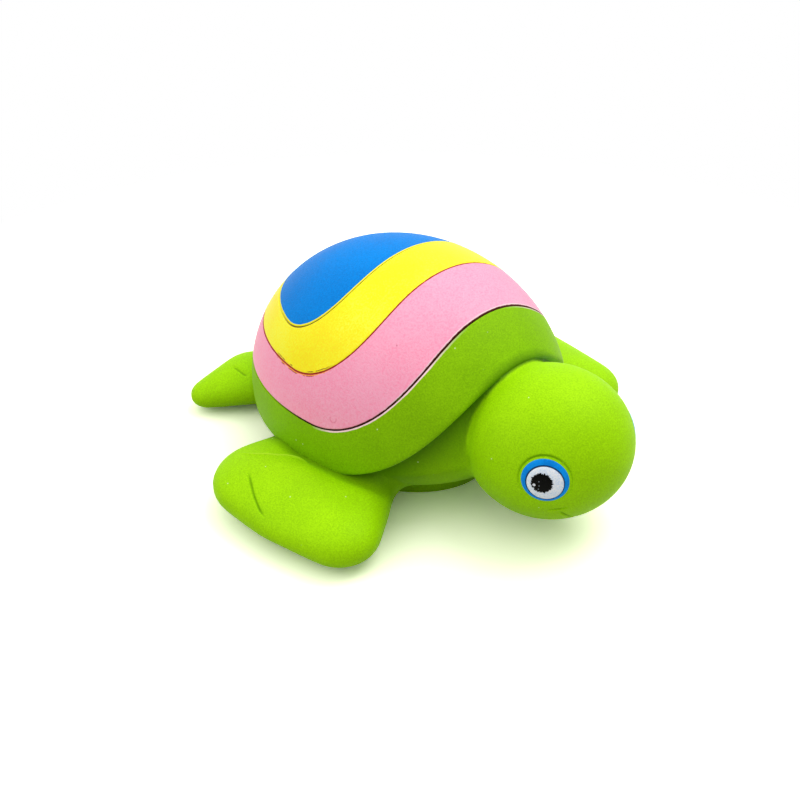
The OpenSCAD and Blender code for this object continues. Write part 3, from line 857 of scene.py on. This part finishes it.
# Fine marks in the skin. Each is a path, its half width, and how deep it goes at each of its points.
def listMarks(tree):
    mouth, cheek, socket = markLook["mouth"], markLook["cheek"], markLook["socket"]
    along = np.linspace(-1, 1, mouth["points"])
    x = along * mouth["reach"]
    z = mouth["corner"] - mouth["fall"] * (1 - along ** 2)
    ends = smoothStep((1 - np.abs(along)) * mouth["ends"])
    deep = mouth["cornerDepth"] + (1 - mouth["cornerDepth"]) * ends
    marks = [(onEgg(x, z), mouth["width"], mouth["depth"] * deep)]
    around = np.linspace(0, 2 * math.pi, socket["points"])
    for side in (-1, 1):
        tick = np.array(cheek["path"]) * [side, 1]
        marks.append((onEgg(*tick.T), cheek["width"], cheek["depth"] * np.array(cheek["fade"])))
        ring = onHead(side, socket["radius"] * np.cos(around), socket["radius"] * np.sin(around), 0 * around)
        deep = socket["depth"] * (socket["middle"] + socket["swing"] * np.sin(around))
        marks.append((ring, socket["width"], deep))
    count = markLook["creasePoints"]
    fade = smoothStep(np.linspace(0, 4, count)) * smoothStep(np.linspace(4, 0, count))
    # A crease is bent softly through its corners, then laid on the skin
    for corners, width, depth in markLook["creases"]:
        corners = np.array(corners) * mm
        share = np.linspace(0, len(corners) - 1, count)
        path = np.stack([np.interp(share, range(len(corners)), corners[:, k]) for k in (0, 1)], 1)
        for _ in range(markLook["bends"]):
            path[1:-1] = (path[:-2] + path[1:-1] * 2 + path[2:]) / 4
        marks.append((np.array([onSkin(tree, x, y) for x, y in path]), width, depth * fade))
    return marks


# Which points are near a path, how far each is from it, and which depth the path has there
def nearPath(points, path, depths, limit):
    middle = (path.min(0) + path.max(0)) / 2
    reach = np.linalg.norm(path - middle, axis=1).max() + limit
    near = np.flatnonzero(np.linalg.norm(points - middle, axis=1) < reach)
    away, deep = np.full(len(near), np.inf), np.zeros(len(near))
    for i in range(len(path) - 1):
        step = path[i + 1] - path[i]
        share = np.clip((points[near] - path[i]) @ step / (step @ step), 0, 1)
        distance = np.linalg.norm(points[near] - path[i] - share[:, None] * step, axis=1)
        closer = distance < away
        away[closer] = distance[closer]
        deep[closer] = (depths[i] + share * (depths[i + 1] - depths[i]))[closer]
    return near, away, deep


# One round of finer faces along the marks
def refineAlong(piece, marks, spread, widest):
    centres = readTriples(piece.data.polygons, "center") - domeCentre
    chosen = np.zeros(len(centres), bool)
    for path, width, depths in marks:
        near, away, _ = nearPath(centres, path, depths, width * spread + markLook["margin"])
        chosen[near[away < width * spread]] |= width < widest
    selectOnly(piece)
    bpy.ops.object.mode_set(mode="EDIT")
    bpy.ops.mesh.select_mode(type="FACE")
    bpy.ops.mesh.select_all(action="DESELECT")
    bpy.ops.object.mode_set(mode="OBJECT")
    piece.data.polygons.foreach_set("select", chosen)
    bpy.ops.object.mode_set(mode="EDIT")
    bpy.ops.mesh.subdivide(number_cuts=1, ngon=False)
    bpy.ops.object.mode_set(mode="OBJECT")


def pressMarks(piece):
    marks = listMarks(surfaceTree(piece))
    for spread, widest in markLook["rounds"]:
        refineAlong(piece, marks, spread, widest)
    points = readPoints(piece) - domeCentre
    soft = np.zeros(len(points))
    for path, width, depths in marks:
        near, away, _ = nearPath(points, path, depths, width * markLook["softened"] + markLook["margin"])
        soft[near[away < width * markLook["softened"]]] = 1
    smoothWhere(piece, soft, markLook["smoothing"])
    points = readPoints(piece) - domeCentre
    normals = readTriples(piece.data.vertices, "normal")
    tones = {name: np.full(len(points), markLook["toneFar"]) for name in ("markNear", "seamNear")}
    for path, width, depths in marks:
        near, away, deep = nearPath(points, path, depths, width * 2)
        pressed = deep * np.exp(-(away / width) ** 2 * markLook["steepness"])
        points[near] -= normals[near] * pressed[:, None]
        # A groove gets painted shade, and a raised seam a painted highlight
        tone = tones["markNear" if depths.sum() > 0 else "seamNear"]
        fainter = markLook["toneEnds"] * (1 - np.abs(deep) / np.abs(depths).max())
        tone[near] = np.minimum(tone[near], away / mm + fainter)
    writePoints(piece, points + domeCentre)
    for name, tone in tones.items():
        keepAttribute(piece, name, tone)


body = makeBody()
pressMarks(body)
print("body marked:", len(body.data.polygons), "faces")
giveMaterial(body, skinMaterial("limePvcVinylMoulded", vinylLook, bodyEdges))
keepAttribute(body, "shellNear", farFromFold(readPoints(body)) / mm)
keepAttribute(shell, "headNear", outsideHead(readPoints(shell)) / mm)
selectOnly(body)
bpy.ops.object.shade_smooth()
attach(body, "toy_body")
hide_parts("torso", "head", "front_flipper_left", "front_flipper_right", "rear_flipper_left",
            "rear_flipper_right")
print("body made")


# Eyes, painted in three discs on a low button
def eyePiece(name, side, profile, material, replaced, moved, rag=0.0):
    angle = np.linspace(0, 2 * math.pi, eyeLook["around"], endpoint=False)
    # Waves of several lengths make the edge of a dabbed disc uneven
    ripple = 1 + rag * (np.sin(11 * angle + 1) * np.sin(3 * angle) + 0.8 * np.sin(19 * angle + 2.3)
                        + 1.1 * np.sin(31 * angle) * np.sin(2 * angle + 1) + np.sin(43 * angle + 0.4))
    rows = []
    for radius, above in profile:
        back, up = moved(radius)
        rows.append(onHead(side, back + radius * ripple * np.cos(angle), up + radius * ripple * np.sin(angle),
                           np.full(len(angle), above)))
    piece, row = layRing(name, rows, material)
    keepAttribute(piece, "innerEdge", np.array([radius for radius, _ in profile])[row] - profile[0][0])
    cleanMesh(piece)
    bpy.ops.object.shade_smooth_by_angle(angle=math.radians(eyeLook["sharpAngle"]))
    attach(piece, "toy_body")
    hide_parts(replaced)
    return piece


# Enamel, pad-printed in two discs and dabbed on by brush for the pupil: smooth, faintly uneven, a soft shine
eyeBlueLook = {
    "colour": "0092F2", "dull": "0080DE", "pale": "0A9CFA", "cloud": 0.003, "grain": 0.0003,
    "grainShare": 0.5, "roughness": 0.42, "bump": 0.15, "gloss": 0.08, "sheen": 0.0,
}
eyeWhiteLook = {
    "colour": "ECF5FF", "dull": "D6E6FC", "pale": "FFFFFF", "cloud": 0.0012, "grain": 0.0003,
    "grainShare": 0.6, "roughness": 0.4, "bump": 0.2, "gloss": 0.2, "sheen": 0.0,
}
eyeBlackLook = {
    "colour": "030303", "dull": "020202", "pale": "0A0A0B", "cloud": 0.001, "grain": 0.00028,
    "grainShare": 0.6, "roughness": 0.34, "bump": 0.7, "gloss": 0.03, "sheen": 0.0,
    "specks": {"spacing": 0.0008, "size": 0.22, "share": 0.35, "colour": "9AA4AE"},
}
ringEdge = {"attribute": "innerEdge", "colour": "04305E", "solid": 0.2, "width": 0.34, "rag": 0.2,
            "ragSize": 0.0008}
# A white spot on the pupil is a painted catchlight
pupilPaintedCatchlight = {
    "place": Vector(onHead(-1, [2.1], [-0.35], [0.49])[0]) + domeMiddle,
    "radius": 0, "width": 0.00032, "upTo": 0.01, "strength": 0.9, "colour": "F0F4FA",
}
eyeBluePaint = skinMaterial("blueEyeEnamelPrinted", eyeBlueLook, (ringEdge,))
eyeWhitePaint = skinMaterial("whiteEyeEnamelPrinted", eyeWhiteLook)
eyeBlackPaint = skinMaterial("blackEyeEnamelDabbed", eyeBlackLook, paintedSpot=pupilPaintedCatchlight)


# Where the middle of each disc lies on the eye at a radius: millimetres back and up
def ringMiddle(radius):
    flatFrom, width = eyeLook["ringFlat"]
    return 0, -eyeLook["whiteDrop"] * min(1, max(0, (flatFrom - radius) / width))


def whiteMiddle(radius):
    return 0, -eyeLook["whiteDrop"]


def pupilMiddle(radius):
    return eyeLook["pupilBack"], eyeLook["pupilUp"] - eyeLook["whiteDrop"]


for side, sideName in ((-1, "right"), (1, "left")):
    hand = sideName.capitalize()
    eyePiece("eyeRing" + hand, side, eyeLook["ring"], eyeBluePaint, "eye_ring_" + sideName,
             ringMiddle)
    eyePiece("eyeWhite" + hand, side, eyeLook["white"], eyeWhitePaint, "eye_white_" + sideName,
             whiteMiddle)
    eyePiece("pupil" + hand, side, eyeLook["pupil"], eyeBlackPaint, "pupil_" + sideName,
             pupilMiddle, rag=eyeLook["pupilRag"])
print("eyes made")


# The CAD parts that show underneath
# Polypropylene, injection moulded: smooth and waxy
whitePlasticLook = {
    "colour": "ECEAE2", "dull": "E2E0D8", "pale": "F4F2EC", "cloud": 0.006, "grain": 0.0005,
    "grainShare": 0.4, "roughness": 0.3, "bump": 0.1, "gloss": 0.5, "sheen": 0.0,
}
brassLook = {
    "colour": "D9A441",
    "roughness": (0.22, 0.4),
    "lineWidth": 0.0002,
    "lineStretch": 12,  # how many times longer than wide
}


# Rolled brass shim: pale gold, with fine lengthwise lines from the rollers
def brassMaterial():
    material, tree, shader, place = startMaterial("brassShimRolled")
    stretch = brassLook["lineStretch"]
    turned = addNode(tree, "Mapping", {"Vector": place, "Scale": (stretch, 1, 1)})
    lines = addNode(tree, "TexNoise", {"Vector": turned, "Scale": 1 / brassLook["lineWidth"] / stretch})
    low, high = brassLook["roughness"]
    rough = addNode(tree, "MapRange", {0: lines, 3: low, 4: high})
    tree.links.new(rough.outputs[0], shader.inputs["Roughness"])
    shader.inputs["Base Color"].default_value = hexColour(brassLook["colour"])
    shader.inputs["Metallic"].default_value = 1
    return material


whitePlastic = skinMaterial("polypropyleneMoulded", whitePlasticLook)
# The belly pad is the body's vinyl, given the shell's darker green as painted shade
giveMaterial(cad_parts["belly_pad"], skinMaterial("limePvcVinylPadPaintedShade", shellVinylLook))
for nodeName in ("squeaker_casing", "reed_block", "reed_clamp"):
    giveMaterial(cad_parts[nodeName], whitePlastic)
giveMaterial(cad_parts["reed"], brassMaterial())
print("squeaker and belly finished")


# Floor, world and lights
studioLook = {
    "floorSize": 6.0,
    "floorColour": (1.5, 1.52, 1.22, 1),  # the camera sees the paper overexposed, with short soft shadows, and yellowed as painted bounce light from the green toy
    "bounceColour": "B0B0AE",  # what it throws back on the toy
    "clearFrom": 0.09,  # the floor starts to turn to plain white this far from the middle
    "clearTo": 0.18,
    "skyLow": 0.32,  # a tent of light, brightest overhead and behind the toy
    "skyHigh": 1.12,
    "brightFrom": (0.04, 0.24, 0.97),
    "dimBelow": -0.3,  # the tent is at its dimmest where it turns this far away from the bright side
    "lamps": (  # place from the middle of the floor, size, watts
        ((0.25, -0.08, 0.47), 0.40, 1.4),
        ((-0.45, 0.20, 0.40), 0.4, 0.5),
    ),
    "lampsAimAt": (0, 0, 0.02),
}
plainWhite = (1, 1, 1, 1)


# 1 for what the camera sees directly, in a mirror or through glass
def seenDirectly(tree):
    seen = addNode(tree, "LightPath")
    both = addNode(tree, "Math", {0: seen.outputs["Is Camera Ray"], 1: seen.outputs["Is Glossy Ray"]},
                   operation="MAXIMUM")
    return addNode(tree, "Math", {0: both, 1: seen.outputs["Is Transmission Ray"]}, operation="MAXIMUM")


# Matt white paper, which keeps the toy's shadow and turns to plain white round it
def paperMaterial():
    material = bpy.data.materials.new("paperSweepMatt")
    material.use_nodes = True
    tree = material.node_tree
    tree.nodes.clear()
    direct = seenDirectly(tree)
    shown = addNode(tree, "Mix", {0: direct, 6: hexColour(studioLook["bounceColour"]),
                                  7: studioLook["floorColour"]}, data_type="RGBA").outputs[2]
    paper = addNode(tree, "BsdfDiffuse", {"Color": shown})
    white = addNode(tree, "Emission", {"Color": plainWhite, "Strength": 1})
    place = addNode(tree, "TexCoord").outputs["Object"]
    away = addNode(tree, "VectorMath", {0: place}, operation="LENGTH").outputs["Value"]
    clear = addNode(tree, "MapRange", {0: away, 1: studioLook["clearFrom"], 2: studioLook["clearTo"],
                                       3: 0, 4: 1})
    share = addNode(tree, "Math", {0: clear, 1: direct}, operation="MULTIPLY")
    mixed = addNode(tree, "MixShader", {0: share, 1: paper, 2: white})
    addNode(tree, "OutputMaterial", {"Surface": mixed})
    return material


def makeFloor():
    bpy.ops.mesh.primitive_plane_add(size=studioLook["floorSize"], location=(0, 0, 0))
    floor = bpy.context.object
    floor.name = "paperFloor"
    giveMaterial(floor, paperMaterial())


def makeWorld():
    world = bpy.data.worlds.new("softStudio")
    world.use_nodes = True
    tree = world.node_tree
    tree.nodes.clear()
    towards = addNode(tree, "VectorMath", {0: addNode(tree, "TexCoord").outputs["Generated"],
                                           1: studioLook["brightFrom"]}, operation="DOT_PRODUCT").outputs[1]
    glow = addNode(tree, "MapRange", {0: towards, 1: studioLook["dimBelow"], 3: studioLook["skyLow"],
                                      4: studioLook["skyHigh"]})
    light = addNode(tree, "Background", {"Color": plainWhite, "Strength": glow})
    shown = addNode(tree, "Background", {"Color": plainWhite, "Strength": 1})
    mixed = addNode(tree, "MixShader", {0: seenDirectly(tree), 1: light, 2: shown})
    addNode(tree, "OutputWorld", {"Surface": mixed})
    bpy.context.scene.world = world


def addLamp(place, size, watts):
    bpy.ops.object.light_add(type="AREA", location=place)
    lamp = bpy.context.object
    lamp.data.size = size
    lamp.data.energy = watts
    aim = Vector(studioLook["lampsAimAt"]) - Vector(place)
    lamp.rotation_euler = aim.to_track_quat("-Z", "Y").to_euler()


makeFloor()
makeWorld()
for place, size, watts in studioLook["lamps"]:
    addLamp(place, size, watts)
bpy.context.scene.view_settings.view_transform = "Standard"
print("studio ready")
